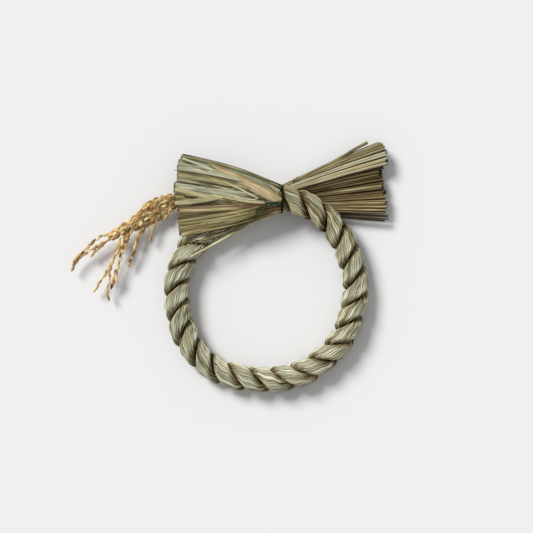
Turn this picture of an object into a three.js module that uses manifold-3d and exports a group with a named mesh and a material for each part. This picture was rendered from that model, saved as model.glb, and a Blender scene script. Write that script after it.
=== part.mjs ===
// A ring of rice straw rope for a door or wall, lying flat as it does when loose.
// Two straw strands are laid into a rope and bent into a ring. Its two ends cross at the top, are tied
// there with dark green thread, and flare beyond the tie into two fans like the loops of a bow.
// A bunch of rice ears is tied in behind the left fan.
// Millimetres, +Z up, away from the surface that the ring lies on; +Y points to the top of the ring.
import * as THREE from "three";
import { mergeVertices } from "three/addons/utils/BufferGeometryUtils.js";
import Module from "manifold-3d";

const wasm = await Module();
wasm.setup();

// Rope: two strands, each an ellipse in the plane across the rope
const STRAND_DEPTH = 11.7; // towards the other strand
const STRAND_WIDTH = 19.8; // across it
const STRAND_GAP = 1.2; // between the two strands, at the rope's axis
const STRAND_CLEARANCE = 0.1; // where their facets would meet
const STRAND_SIDES = 8;
const STEPS_PER_TURN = 8.2;
const HALF_LAY = 14.55; // degrees of the ring from one strand on top to the next
const LAY_START = 61.2; // an angle where the first strand lies exactly on top
const ROPE_DEPTH = 2 * STRAND_DEPTH + STRAND_GAP;
const FLAT_TRIM = 0.5; // pressed flat where the strands lie on the surface
const RING_HEIGHT = ROPE_DEPTH / 2 - FLAT_TRIM; // of the rope's axis

// The ring, bent by hand: degrees clockwise from the top, and the rope's distance from the middle
const RING_BEND = [
  [21, 92.1], [37, 92.8], [61, 90.2], [90, 89.6], [105, 88.2], [125, 90.6], [155, 90.8], [180, 90.3],
  [212, 94.8], [240, 93.6], [270, 89.9], [285, 88.6], [299, 86.9], [315, 81.5], [326, 78.4], [339, 76.9],
  [355, 80.9],
];

// Binding: the upper layer runs from the right shoulder into the left fan, the lower one from the left
// shoulder into the right fan
const BINDING = new THREE.Vector2(16.6, 90.6);
const BUNDLE_HEIGHT = 26; // across the layers, along Y
const LOWER_LAYER = { low: 2.2, high: 15.2, middle: 8.7 };
const UPPER_LAYER = { low: 15.8, high: 30.6, middle: 23.2 };
const JOINT_GAP = 0.3; // between neighbours that touch
const NECK_LENGTH = 6; // of the pressed straw that starts each fan
const NECK_FILL = 0.96; // of the layer's section
const PRESSED_NEAR = 2; // fully pressed this close to the tie
const PRESSED_FAR = 52; // and round again from here on
const STRAIGHT_ENTRY = 12; // the rope's section stands square to the tie up to here
const UPPER_ENTRY = { back: 5, drop: 0.8 }; // how the rope's axis leaves the tie, to the right
const LOWER_ENTRY = { back: 6, drop: 2.4 }; // and to the left
const THREAD_DIAMETER = 1.3;
const THREAD_TURNS = 2;
const THREAD_SIDES = 4;
const KNOT_DIAMETER = 1.9;
const TAIL_DIAMETER = 1.1;
const LIFT_FROM = 84; // degrees where the right shoulder starts to climb over the right fan
const CLIMB_TO = 15;
const SINK_FROM = 285; // degrees where the left shoulder starts to sink below the left fan
const SINK_TO = 362;

// Fans, measured at their cut ends
const LEFT_FAN = { end: -89.3, top: 136, bottom: 52.5, leaves: 20, width: 7.2, thickness: 1.6 };
const LEAF_ROOT_WIDTH = 4.2; // folded under the tie
const LEAF_LAYER = 1.5; // from one layer of leaves to the next
const LEFT_FAN_HEIGHT = { lower: 26.6, upper: 19.5 }; // at the fan's lower and upper edge
const RIGHT_FAN = { end: 119, top: 146.2, bottom: 68.6, stems: 20, width: 4.2, thickness: 3.2 };
const STEM_ROOT = { width: 2.6, thickness: 2.4 }; // pressed under the tie
const STEM_LAYER = 1.8; // from one layer of stems to the next
const RIGHT_FAN_HEIGHT = 4; // of the lowest stems' axis at their cut ends
const FAN_LAYERS = 3;
const RAGGED = 3.2; // how far the cut ends run past one another
const STRAY_STEM = { width: 2.9, thickness: 2.7 };

// Rice ears
const GRAIN_LENGTH = 9.6;
const GRAIN_WIDTH = 3.4;
const EAR_BODY_WIDTH = 6.4;
const GRAIN_SIDES = 3;
const GRAIN_SPACING = 6.5;
const GRAIN_SET_OFF = 0.35; // from the middle of the twig, to either side
const STALK_DIAMETER = 1.9;
const STALK_SPACING = 2.2; // one above the other under the tie, in the notch between the layers
const STALK_TIED = { left: 0.6, above: 11.6, height: 15.3 }; // the middle stalk, from the tie's middle

const LOOSE_STRAW_DIAMETER = 2.6;

const STRAW = { color: 0xb3ab85, roughness: 0.75, metalness: 0 };
const LEAF = { color: 0xaaa27c, roughness: 0.8, metalness: 0 };
const STEM = { color: 0x9c8f63, roughness: 0.75, metalness: 0 };
const EAR = { color: 0xc79a58, roughness: 0.7, metalness: 0 };
const THREAD = { color: 0x26382c, roughness: 0.85, metalness: 0 };

const UP = new THREE.Vector3(0, 0, 1);
const TURN = 2 * Math.PI;

// The same uneven numbers between -1 and 1 each time, for straw that is never quite alike
function unevenness(seed) {
  let state = seed;
  return () => {
    state = (state * 16807) % 2147483647;
    return (2 * state) / 2147483647 - 1;
  };
}

const mix = THREE.MathUtils.lerp;

function vec(x, y, z) {
  return new THREE.Vector3(x, y, z);
}

// Solids

function solidFrom(geometry) {
  const bare = geometry.clone();
  bare.deleteAttribute("normal");
  bare.deleteAttribute("uv");
  const merged = mergeVertices(bare, 1e-4);
  return new wasm.Manifold(
    new wasm.Mesh({
      numProp: 3,
      vertProperties: merged.attributes.position.array,
      triVerts: new Uint32Array(merged.index.array),
    }),
  );
}

function geometryFrom(solid) {
  const mesh = solid.getMesh();
  return new THREE.BufferGeometry()
    .setAttribute("position", new THREE.BufferAttribute(new Float32Array(mesh.vertProperties), 3))
    .setIndex(new THREE.BufferAttribute(new Uint32Array(mesh.triVerts), 1));
}

function joined(solids) {
  return solids.reduce((whole, one) => whole.add(one));
}

// The half of space above the surface that the part lies on
function aboveSurface() {
  const size = 800;
  return solidFrom(new THREE.BoxGeometry(size, size, size).translate(0, 0, size / 2));
}

// A closed skin over rings of points, with a flat cap at each end
function skinned(rings) {
  const sides = rings[0].length;
  const points = rings.flat();
  const faces = [];
  for (let ring = 0; ring + 1 < rings.length; ring += 1) {
    for (let side = 0; side < sides; side += 1) {
      const next = (side + 1) % sides;
      const a = ring * sides + side;
      const b = ring * sides + next;
      faces.push(a, b, b + sides, a, b + sides, a + sides);
    }
  }
  const last = (rings.length - 1) * sides;
  for (let side = 1; side + 1 < sides; side += 1) {
    faces.push(0, side + 1, side);
    faces.push(last, last + side, last + side + 1);
  }
  const positions = new Float32Array(points.flatMap((point) => point.toArray()));
  return new THREE.BufferGeometry()
    .setAttribute("position", new THREE.BufferAttribute(positions, 3))
    .setIndex(faces);
}

// A stem or leaf along a list of points. size(t) gives its width and thickness, t from 0 to 1
function strip(points, sides, size, side = vec(0, 1, 0)) {
  const rings = points.map((point, index) => {
    const before = points[Math.max(index - 1, 0)];
    const after = points[Math.min(index + 1, points.length - 1)];
    const along = after.clone().sub(before).normalize();
    const thick = along.clone().cross(side).normalize();
    const wide = thick.clone().cross(along).normalize();
    const [width, thickness] = size(index / (points.length - 1));
    return Array.from({ length: sides }, (_, corner) => {
      const turn = (TURN * (corner + 0.5)) / sides;
      return point
        .clone()
        .addScaledVector(wide, (Math.cos(turn) * width) / 2 / Math.cos(Math.PI / sides))
        .addScaledVector(thick, (Math.sin(turn) * thickness) / 2 / Math.cos(Math.PI / sides));
    });
  });
  return solidFrom(skinned(rings));
}

function round(points, sides, diameter) {
  const along = points[points.length - 1].clone().sub(points[0]);
  return strip(points, sides, () => [diameter, diameter], UP.clone().cross(along).normalize());
}

// Rope

function ringPoint([degrees, distance]) {
  const angle = THREE.MathUtils.degToRad(degrees);
  const climb = THREE.MathUtils.smoothstep(LIFT_FROM - degrees, 0, LIFT_FROM - CLIMB_TO);
  const sink = THREE.MathUtils.smoothstep(degrees, SINK_FROM, SINK_TO);
  const climbed = climb * (UPPER_LAYER.middle - RING_HEIGHT);
  const sunk = sink * (LOWER_LAYER.middle - RING_HEIGHT);
  return vec(distance * Math.sin(angle), distance * Math.cos(angle), RING_HEIGHT + climbed + sunk);
}

function ropeAxis() {
  const upper = UPPER_LAYER.middle;
  const lower = LOWER_LAYER.middle;
  const entry = JOINT_GAP / 2;
  return new THREE.CatmullRomCurve3(
    [
      vec(BINDING.x + entry, BINDING.y, upper),
      vec(BINDING.x + entry + UPPER_ENTRY.back, BINDING.y - UPPER_ENTRY.drop, upper),
      ...RING_BEND.map(ringPoint),
      vec(BINDING.x - entry - LOWER_ENTRY.back, BINDING.y - LOWER_ENTRY.drop, lower),
      vec(BINDING.x - entry, BINDING.y, lower),
    ],
    false,
    "centripetal",
  );
}

// How far a layer is pressed flat by the tie, from 1 at the tie to 0 beyond its reach
function pressing(distance) {
  return 1 - THREE.MathUtils.smoothstep(distance, PRESSED_NEAR, PRESSED_FAR);
}

function ropeSections() {
  const axis = ropeAxis();
  const length = axis.getLength();
  const turns = (360 - HALF_LAY / 2) / (2 * HALF_LAY);
  const steps = Math.round(turns * STEPS_PER_TURN);
  let degrees = 0;
  return Array.from({ length: steps + 1 }, (_, step) => {
    const part = step / steps;
    const middle = axis.getPointAt(part);
    const along = axis.getTangentAt(part);
    const heading = THREE.MathUtils.radToDeg(Math.atan2(middle.x, middle.y));
    degrees = heading + 360 * Math.round((degrees - heading) / 360);
    const toTie = Math.min(part, 1 - part) * length;
    const pressed = pressing(toTie);
    const layer = part < 0.5 ? UPPER_LAYER : LOWER_LAYER;
    const outward = vec(-along.y, along.x, 0).normalize();
    const square = 1 - THREE.MathUtils.smoothstep(toTie, 0, STRAIGHT_ENTRY);
    outward.lerp(vec(0, 1, 0), square).normalize();
    const upward = UP.clone().addScaledVector(along, -along.z).normalize();
    return {
      middle,
      outward,
      upward: upward.lerp(UP, pressed).normalize(),
      wide: mix(1, BUNDLE_HEIGHT / ROPE_DEPTH, pressed),
      deep: mix(1, (layer.high - layer.low) / ROPE_DEPTH, pressed),
      phase: Math.PI / 2 + (Math.PI * (degrees - LAY_START)) / HALF_LAY,
    };
  });
}

// One strand: its section swings about the rope's axis, from the outer edge over the top to the inner
// one, while the corners of the section keep their own directions, so that its edges run with the straw
function ropeStrand(startPhase, swell = 0) {
  const rings = ropeSections().map(({ middle, outward, upward, wide, deep, phase }) => {
    const turned = phase + startPhase;
    return Array.from({ length: STRAND_SIDES }, (_, corner) => {
      const turn = (TURN * corner) / STRAND_SIDES - turned;
      const away = (STRAND_GAP + STRAND_DEPTH) / 2 + (STRAND_DEPTH / 2 + swell) * Math.cos(turn);
      const across = (STRAND_WIDTH / 2 + swell) * Math.sin(turn);
      const out = away * Math.cos(turned) - across * Math.sin(turned);
      const up = away * Math.sin(turned) + across * Math.cos(turned);
      return middle.clone().addScaledVector(outward, out * wide).addScaledVector(upward, up * deep);
    });
  });
  return solidFrom(skinned(rings)).intersect(aboveSurface());
}

// Fans

// A flat oval plug of pressed straw where a fan starts under the tie
function fanNeck(layer, direction) {
  const start = BINDING.x + (direction * JOINT_GAP) / 2;
  const points = [0, NECK_LENGTH].map((out) => vec(start + direction * out, BINDING.y, layer.middle));
  const sides = 10;
  return strip(points, sides, () => [BUNDLE_HEIGHT * NECK_FILL, (layer.high - layer.low) * NECK_FILL]);
}

// Where a straw of the fan leaves the neck: place runs from 0 at the lower edge to 1 at the upper one,
// and level from -1 at the back of the layer to 1 at its front
function neckPoint(layer, direction, place, level) {
  const inside = 2; // from the neck's skin to the middle of a straw
  const across = (place - 0.5) * (BUNDLE_HEIGHT - 2 * inside);
  const roundness = Math.sqrt(1 - (2 * across / BUNDLE_HEIGHT) ** 2);
  const depth = (layer.high - layer.low) / 2 - inside;
  return vec(
    BINDING.x + direction * inside,
    BINDING.y + across,
    layer.middle + level * depth * roundness,
  );
}

// The way of one straw from the tie to its cut end, bowed sideways and dipping on the way
function fanLine(from, to, bow, dip) {
  return [0, 0.2, 0.5, 1].map((t) => {
    const point = from.clone().lerp(to, t);
    point.y += bow * Math.sin(Math.PI * t);
    point.z += dip * Math.sin(Math.PI * Math.min(t * 1.6, 1));
    return point;
  });
}

// Flat leaves in three layers, lying over the rope's left shoulder and drooping a little beyond it
function leftFan() {
  const uneven = unevenness(11);
  const { end, top, bottom, leaves, width, thickness } = LEFT_FAN;
  const pieces = [fanNeck(UPPER_LAYER, -1)];
  for (let leaf = 0; leaf < leaves; leaf += 1) {
    const place = leaf / (leaves - 1);
    const layer = leaf % FAN_LAYERS;
    const from = neckPoint(UPPER_LAYER, -1, place, layer - 1);
    const to = vec(
      end + RAGGED * uneven(),
      mix(bottom + width / 2, top - width / 2, place) + uneven(),
      mix(LEFT_FAN_HEIGHT.lower, LEFT_FAN_HEIGHT.upper, place) + layer * LEAF_LAYER,
    );
    const points = fanLine(from, to, mix(-2.6, 1.6, place), mix(2.6, -1.5, place));
    const full = width * (1 + 0.25 * uneven());
    pieces.push(strip(points, 4, (t) => [mix(LEAF_ROOT_WIDTH, full, Math.min(2 * t, 1)), thickness]));
  }
  return joined(pieces);
}

// Round stems in three layers, pressed low where the rope's right shoulder crosses them
function rightFan() {
  const uneven = unevenness(23);
  const { end, top, bottom, stems, width, thickness } = RIGHT_FAN;
  const pieces = [fanNeck(LOWER_LAYER, 1)];
  for (let stem = 0; stem < stems; stem += 1) {
    const place = stem / (stems - 1);
    const layer = stem % FAN_LAYERS;
    const from = neckPoint(LOWER_LAYER, 1, place, layer - 1);
    const to = vec(
      end + RAGGED * uneven(),
      mix(bottom + width / 2, top - width / 2, place),
      RIGHT_FAN_HEIGHT + layer * STEM_LAYER,
    );
    const points = fanLine(from, to, mix(-1.2, -1.4, place), mix(-4.6, -1, place));
    const size = (t) => [mix(STEM_ROOT.width, width, t), mix(STEM_ROOT.thickness, thickness, t)];
    pieces.push(strip(points, 4, size));
  }
  pieces.push(strayStem());
  return joined(pieces);
}

// One stem that has sprung away from the fan's upper edge
function strayStem() {
  const points = [vec(18, 101, 8), vec(63.6, 126.6, 8), vec(86.6, 139.8, 9), vec(101.8, 148, 9)];
  return strip(points, 5, () => [STRAY_STEM.width, STRAY_STEM.thickness]);
}

// A single straw that left the bundle at the tie and lies slanting on the left shoulder
function looseStraw() {
  const points = [
    vec(12, 76.2, 17.4),
    vec(-4, 71, 19.5),
    vec(-33, 55.4, 21.4),
    vec(-58, 41.6, 24),
    vec(-75, 32.6, 24.8),
  ];
  return round(points, 5, LOOSE_STRAW_DIAMETER);
}

// Thread

// One closed turn of thread round both layers, straight at the sides and oval over the top and bottom
function threadLoop(turn) {
  const steps = 16;
  const radius = THREAD_DIAMETER / 2;
  const clearance = 0.5;
  const spacing = THREAD_DIAMETER * 0.92; // pulled tight against one another
  const x = BINDING.x + (turn - (THREAD_TURNS - 1) / 2) * spacing;
  const rings = Array.from({ length: steps }, (_, step) => {
    const angle = (TURN * (step + 0.5)) / steps;
    const layer = Math.sin(angle) > 0 ? UPPER_LAYER : LOWER_LAYER;
    return Array.from({ length: THREAD_SIDES }, (_, corner) => {
      const around = (TURN * corner) / THREAD_SIDES;
      const away = clearance + radius * (1 + Math.cos(around));
      return vec(
        x + radius * Math.sin(around),
        BINDING.y + Math.cos(angle) * (BUNDLE_HEIGHT / 2 + away),
        layer.middle + Math.sin(angle) * ((layer.high - layer.low) / 2 + away),
      );
    });
  });
  return solidFrom(closedSkin(rings));
}

// A skin over rings of points that meet end to start
function closedSkin(rings) {
  const sides = rings[0].length;
  const faces = [];
  rings.forEach((_, ring) => {
    const following = ((ring + 1) % rings.length) * sides;
    for (let side = 0; side < sides; side += 1) {
      const next = (side + 1) % sides;
      const a = ring * sides + side;
      const b = ring * sides + next;
      faces.push(a, following + next, b, a, following + side, following + next);
    }
  });
  const positions = new Float32Array(rings.flat().flatMap((point) => point.toArray()));
  return new THREE.BufferGeometry()
    .setAttribute("position", new THREE.BufferAttribute(positions, 3))
    .setIndex(faces);
}

function bindingThread() {
  const top = UPPER_LAYER.high + 1.2;
  const knot = [vec(BINDING.x - 0.5, 87.4, top + 0.3), vec(8, 87, top), vec(-1, 87.6, top + 0.4)];
  const longTail = [
    vec(0, 87.4, top + 0.4),
    vec(-5, 84, top + 1),
    vec(-8.6, 80.8, top + 0.6),
    vec(-12, 76, top - 1),
  ];
  const shortTail = [vec(1, 87.6, top + 0.4), vec(-3, 82.4, top + 1.2), vec(-9.6, 73.4, top - 0.6)];
  return joined([
    ...Array.from({ length: THREAD_TURNS }, (_, turn) => threadLoop(turn)),
    round(knot, THREAD_SIDES, KNOT_DIAMETER),
    round(longTail, THREAD_SIDES, TAIL_DIAMETER),
    round(shortTail, THREAD_SIDES, TAIL_DIAMETER),
  ]);
}

// Rice ears

// One husked grain, a long bipyramid with three sides and a ridge on top
function grain(middle, along, width) {
  const side = UP.clone().cross(along).normalize();
  const out = along.clone().cross(side).normalize();
  const tips = [-0.5, 0.5].map((end) => middle.clone().addScaledVector(along, end * GRAIN_LENGTH));
  const belt = Array.from({ length: GRAIN_SIDES }, (_, edge) => {
    const turn = TURN * (edge / GRAIN_SIDES + 0.25);
    const radius = width / 2 / Math.cos(TURN / 4 / GRAIN_SIDES);
    return middle
      .clone()
      .addScaledVector(side, radius * Math.cos(turn))
      .addScaledVector(out, radius * Math.sin(turn));
  });
  const positions = new Float32Array([...tips, ...belt].flatMap((point) => point.toArray()));
  const faces = [];
  for (let edge = 0; edge < GRAIN_SIDES; edge += 1) {
    const a = 2 + edge;
    const b = 2 + ((edge + 1) % GRAIN_SIDES);
    faces.push(1, a, b, 0, b, a);
  }
  return solidFrom(
    new THREE.BufferGeometry()
      .setAttribute("position", new THREE.BufferAttribute(positions, 3))
      .setIndex(faces),
  );
}

// Grains close along a twig, left and right in turn, each lapping over the foot of the next
function grainsAlong(points, width, uneven) {
  const curve = new THREE.CatmullRomCurve3(points, false, "centripetal");
  const count = Math.round(curve.getLength() / GRAIN_SPACING);
  return Array.from({ length: count + 1 }, (_, index) => {
    const part = index / count;
    const along = curve.getTangentAt(part);
    const side = UP.clone().cross(along).normalize();
    const middle = curve.getPointAt(part).addScaledVector(side, (index % 2 ? 1 : -1) * GRAIN_SET_OFF);
    middle.addScaledVector(UP, 0.5 * GRAIN_SET_OFF * uneven());
    return grain(middle, along, width);
  });
}

// An ear: a stalk from the tie as far as the first grains, its body, where the twigs and their grains
// lie close together, and the twigs that part from it
function riceEar({ stalk, body, twigs }, index) {
  const uneven = unevenness(41 + index);
  const tied = vec(
    BINDING.x - STALK_TIED.left,
    BINDING.y + STALK_TIED.above,
    STALK_TIED.height + (1 - index) * STALK_SPACING,
  );
  const curve = new THREE.CatmullRomCurve3([tied, ...stalk], false, "centripetal");
  return joined([
    round(curve.getSpacedPoints(6), 5, STALK_DIAMETER),
    ...grainsAlong(body, EAR_BODY_WIDTH, uneven),
    ...twigs.flatMap((twig) => grainsAlong(twig, GRAIN_WIDTH, uneven)),
  ]);
}

const EARS = [
  {
    stalk: [vec(8, 103, 16.6), vec(-30, 98.6, 15.2), vec(-92, 93.6, 14), vec(-100, 92.2, 14.4)],
    body: [vec(-98, 92.4, 14.4), vec(-112, 88.4, 15), vec(-130, 76, 15), vec(-145, 62.6, 14)],
    twigs: [
      [
        vec(-144, 63, 14), vec(-157, 53.6, 13), vec(-162.6, 53, 12), vec(-178, 41.6, 10),
        vec(-194, 26.6, 7), vec(-196, 19, 6),
      ],
      [vec(-145, 62, 14), vec(-160, 50, 12), vec(-176, 38, 9), vec(-193, 21, 5)],
      [vec(-146, 60, 14), vec(-158, 47, 11), vec(-175.6, 34.8, 8)],
    ],
  },
  {
    stalk: [vec(8, 102.6, 14.4), vec(-30, 94.6, 13.2), vec(-91, 86, 10.6), vec(-102, 83, 11)],
    body: [vec(-100, 84, 11), vec(-116, 76.4, 12), vec(-130, 65, 11.4), vec(-140, 60, 10)],
    twigs: [
      [
        vec(-139.5, 60.4, 10), vec(-146, 46, 9.6), vec(-152, 35, 9), vec(-157, 23, 8),
        vec(-171.6, -1.6, 5),
      ],
      [vec(-152, 34, 9), vec(-156.6, 22, 9), vec(-158.6, 0, 6), vec(-158, -11, 5)],
      [vec(-136, 62, 10), vec(-141.6, 38, 9), vec(-146.6, 24, 8), vec(-150, 9.6, 6)],
    ],
  },
  {
    stalk: [vec(8, 102.4, 12.1), vec(-30, 91.4, 11.2), vec(-90, 80, 7.4), vec(-98, 78.4, 7.6)],
    body: [vec(-96, 79, 7.4), vec(-108, 73.6, 7.4), vec(-119, 65, 6.6)],
    twigs: [
      [vec(-118, 66, 6.8), vec(-127, 56, 6), vec(-140, 30, 5), vec(-151, 14, 4), vec(-155, 1, 3.6)],
      [vec(-118, 66, 7), vec(-125.6, 54, 8), vec(-130.6, 38, 8), vec(-137.6, 24, 7)],
      [vec(-104, 76, 8), vec(-111, 64, 8), vec(-116.8, 49, 7)],
    ],
  },
];

// The part

function named(name, solid, finish) {
  const mesh = new THREE.Mesh(geometryFrom(solid), new THREE.MeshStandardMaterial(finish));
  mesh.name = name;
  return mesh;
}

const meshes = [
  named("rope_strand_1", ropeStrand(0).subtract(ropeStrand(Math.PI, STRAND_CLEARANCE)), STRAW),
  named("rope_strand_2", ropeStrand(Math.PI), STRAW),
  named("left_fan", leftFan(), LEAF),
  named("right_fan", rightFan(), STEM),
  named("binding_thread", bindingThread(), THREAD),
  named("loose_straw", looseStraw(), STRAW),
  ...EARS.map((ear, index) => named(`rice_ear_${index + 1}`, riceEar(ear, index), EAR)),
];

// The origin is on the surface that the part lies on, under the middle of its outline
const part = new THREE.Group();
part.name = "straw_ring";
const inner = new THREE.Group();
inner.add(...meshes);
const middle = new THREE.Box3().setFromObject(inner).getCenter(new THREE.Vector3());
inner.position.set(-middle.x, -middle.y, 0);
part.add(inner);

export default part;
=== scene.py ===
import math

import bpy
import numpy as np
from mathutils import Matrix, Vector


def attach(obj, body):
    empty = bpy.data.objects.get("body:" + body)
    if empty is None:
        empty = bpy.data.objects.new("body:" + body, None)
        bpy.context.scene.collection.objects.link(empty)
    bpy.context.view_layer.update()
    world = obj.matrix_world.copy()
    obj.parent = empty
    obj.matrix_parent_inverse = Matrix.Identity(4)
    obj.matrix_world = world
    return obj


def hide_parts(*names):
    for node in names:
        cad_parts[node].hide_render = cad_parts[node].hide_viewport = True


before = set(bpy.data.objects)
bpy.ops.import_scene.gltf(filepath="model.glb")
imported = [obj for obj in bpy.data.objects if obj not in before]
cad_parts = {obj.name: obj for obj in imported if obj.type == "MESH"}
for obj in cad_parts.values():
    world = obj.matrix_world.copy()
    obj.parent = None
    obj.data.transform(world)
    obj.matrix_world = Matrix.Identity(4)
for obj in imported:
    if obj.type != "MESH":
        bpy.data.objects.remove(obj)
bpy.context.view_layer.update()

MILLIMETRE = 0.001
RING_MIDDLE = (37.455, -23.329, 0.0)  # in the part's frame
FLOOR_CLEARANCE = 0.05  # lowest straw above the floor

# Rope: two strands, each an oval in the plane across the rope
STRAND_DEPTH = 12.1
STRAND_WIDTH = 19.8
STRAND_GAP = 0.4
STRAND_SWELL = 0.05  # how much a strand's thickness changes along it
STRAND_FLATNESS = 0.62  # of the side that is pressed against the other strand, 1 for a plain oval
GROOVE_PAINTED_SHADE = (1.0, 3.5)  # squared distances from the other strand's middle, 1 on its skin: the groove, darkened there as painted shade
CROWN_PAINTED_HIGHLIGHT = (3.2, 8.5)  # and from where to where a strand's crown becomes full, painted paler there as a highlight and as paler weathered straw
HALF_LAY = 14.55  # degrees of the ring from one strand on top to the next
LAY_START = 61.2  # an angle where the first strand lies exactly on top
EASES_FROM = 292.0  # degrees from which the strands turn less and less, towards the left shoulder
EASES_TO = 335.0
EASE = 0.72  # share of their turning that they have lost from there on
ROPE_DEPTH = 2 * STRAND_DEPTH + STRAND_GAP
FLAT_TRIM = 0.5  # pressed flat where the strands lie on the floor
RING_HEIGHT = ROPE_DEPTH / 2 - FLAT_TRIM
ROPE_STEPS = 300

# Straws of a strand, which lie in rows along it
STRAWS_PER_STRAND = 42
OWN_TWIST = 1.16  # turns of a straw within its strand, against the rope's own, so that it slants less
STRAW_WIDTHS_DIFFER = 0.46  # 0 where all are as wide
STRAW_ACROSS = np.array([-0.5, -0.3, 0.0, 0.3, 0.5, 0.0])  # corners round its section, across its width
STRAW_ABOVE = np.array([-0.8, 0.06, 0.36, 0.06, -0.8, -1.3])  # and how far each stands above its row
STRAW_SINKS = 0.35  # below the strand's skin
STRAW_LIFTS = [-0.25, -0.1, 0.05, 0.2, 0.2, 0.45]  # how far a straw may stand above its neighbours
STRAW_LAP = 6  # steps that a straw reaches past its end, under the next one of its row
STRAW_LENGTHS = (50, 140)  # steps
END_SINKS = 1.1  # how far a straw's end dips under its neighbours
CORE_SINKS = 1.1  # the dark core below the strand's skin, painted shade that shows between the straws
SLOW_STEPS = 30  # between changes along a straw

# Painted shade between neighbouring straws: how dark the sides of a straw are, corner by corner round its
# section
ROPE_CREVICE_SHADE = np.array([1.0, 0.4, 0.0, 0.4, 1.0, 1.0])
LEAF_CREVICE_SHADE = np.array([0.9, 0.12, 0.0, 0.12, 0.9, 0.5, 0.5, 0.5])
STEM_CREVICE_SHADE = np.array([0.95, 0.25, 0.0, 0.25, 0.95, 1.0, 1.0, 1.0])

# The ring, bent by hand: degrees clockwise from the top, and the rope's distance from the middle
RING_BEND = [
    (21, 92.1), (37, 92.8), (61, 90.2), (90, 89.6), (105, 88.2), (125, 90.6), (155, 90.8), (180, 90.3),
    (212, 94.8), (240, 93.6), (270, 89.9), (285, 88.6), (299, 86.9), (315, 81.5), (326, 78.4), (339, 76.9),
    (355, 80.9),
]

# Binding: the right shoulder runs into the left fan above, the left shoulder into the right fan below
BINDING = (16.6, 90.6)
BUNDLE_HEIGHT = 26.0  # across the layers, along Y
LOWER_LAYER = {"low": 2.2, "high": 15.2, "middle": 8.7}
UPPER_LAYER = {"low": 15.8, "high": 30.6, "middle": 23.2}
LIFT_FROM = 84.0  # degrees where the right shoulder starts to climb over the right fan
CLIMB_TO = 15.0
SINK_FROM = 285.0  # degrees where the left shoulder starts to sink below the left fan
SINK_TO = 362.0
PRESSED_NEAR = 2.0  # pressed flat this close to the tie
PRESSED_FAR = 52.0  # and round again from here on
STRAIGHT_ENTRY = 12.0  # the rope's section stands square to the tie up to here
UPPER_ENTRY = {"back": 5, "drop": 0.8}  # how the rope's axis leaves the tie, to the right
LOWER_ENTRY = {"back": 6, "drop": 2.4}  # and to the left

# Fans, measured at their cut ends
LEFT_FAN = {"end": -89.5, "top": 135.8, "bottom": 52.0}
LEFT_FAN_ENDS = [  # up the fan, and how far out its leaves are cut there
    (51.6, -84.3), (59.3, -86.7), (74.3, -87.7), (80.3, -88.5), (86.3, -90.6), (101.8, -91.3), (106.3, -90.3),
    (107.5, -88.2), (119.8, -88.2), (127, -87.6), (132, -85.2), (135.8, -80),
]
LEFT_FAN_HEIGHT = {"lower": 26.0, "upper": 18.9}  # at the fan's lower and upper edge
LEFT_FAN_DIP = {"lower": 2.6, "upper": -1.5}  # above the straight way from the tie, a third along it
LEAF_LAYERS = 5
LEAF_LAYER = 0.95  # from one layer of leaves to the next
TOP_LEAVES = 34
LOWER_LEAVES = 26
LEAF_WIDTHS = (2.4, 6.2)
LEAF_THICKNESS = 0.4
SLIVERS = 140  # narrow strips that lie close on the top leaves
MORE_SLIVERS = 26
RIGHT_FAN = {"top": 148.4, "bottom": 64.8}
RIGHT_FAN_ENDS = [  # up the fan, and how far out its stems are cut there
    (64.8, 122.4), (77.3, 122.4), (84.3, 119.4), (99.3, 119.4), (109.3, 116.4), (117.3, 114.6),
    (124.3, 119.4), (132.3, 122.2), (147.3, 114.6),
]
RIGHT_FAN_HEIGHT = 5.0  # of the lowest stems' axis
RIGHT_FAN_DIP = {"lower": -5.6, "upper": -1.5}
STEM_LAYERS = 4
STEM_LAYER = 2.3  # from one layer of stems to the next
TOP_STEMS = 29
LOWER_STEMS = 25
STEM_WIDTHS = (1.9, 3.1)
STEM_ROOT = 1.7  # a stem's width under the tie
STEM_BORE = 0.62  # the hollow's width at the cut end, as a share of the stem's
STEM_BORE_DEPTH = 2.0
RAISED_GROUP = 4.5  # how far the uppermost stems stand above the others
STRAY_STEM = [
    (17, 102.6, 11), (49.4, 119.4, 12), (63.4, 126, 13), (78.2, 133.9, 14), (86.2, 138.8, 14),
    (101, 146.7, 14),
]
BROKEN_STEM = [(26, 107.4, 13), (29.6, 110.6, 15), (31.4, 112.4, 16)]
LOOSE_STRAW = [(14, 77.2, 17.0), (-4, 71, 19.5), (-33, 55.4, 21.4), (-58, 41.6, 24), (-75, 32.6, 24.8)]
LOOSE_STRAW_DIAMETER = 2.6

# The camera, straight above: 1 mm at PICTURE_LEVEL is one pixel of the picture
VIEW_MIDDLE = (0.1, 22.8)
PICTURE_LEVEL = 12.0
CAMERA_HEIGHT = 1900.0

TAU = 2 * math.pi
UP = np.array([0.0, 0.0, 1.0])
SHARP_FROM = math.radians(55)  # between faces


# Lines and directions

def unit(vectors):
    return vectors / np.maximum(np.linalg.norm(vectors, axis=-1, keepdims=True), 1e-9)


def smoothstep(value, low, high):
    t = np.clip((value - low) / (high - low), 0, 1)
    return t * t * (3 - 2 * t)


def mix(a, b, t):
    return a + (b - a) * t


def in_place(points):
    """Drawn points, in metres in the part's frame, and none of them below the floor."""
    placed = (np.asarray(points, float) + RING_MIDDLE) * MILLIMETRE
    placed[..., 2] = np.maximum(placed[..., 2], FLOOR_CLEARANCE * MILLIMETRE)
    return placed


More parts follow.
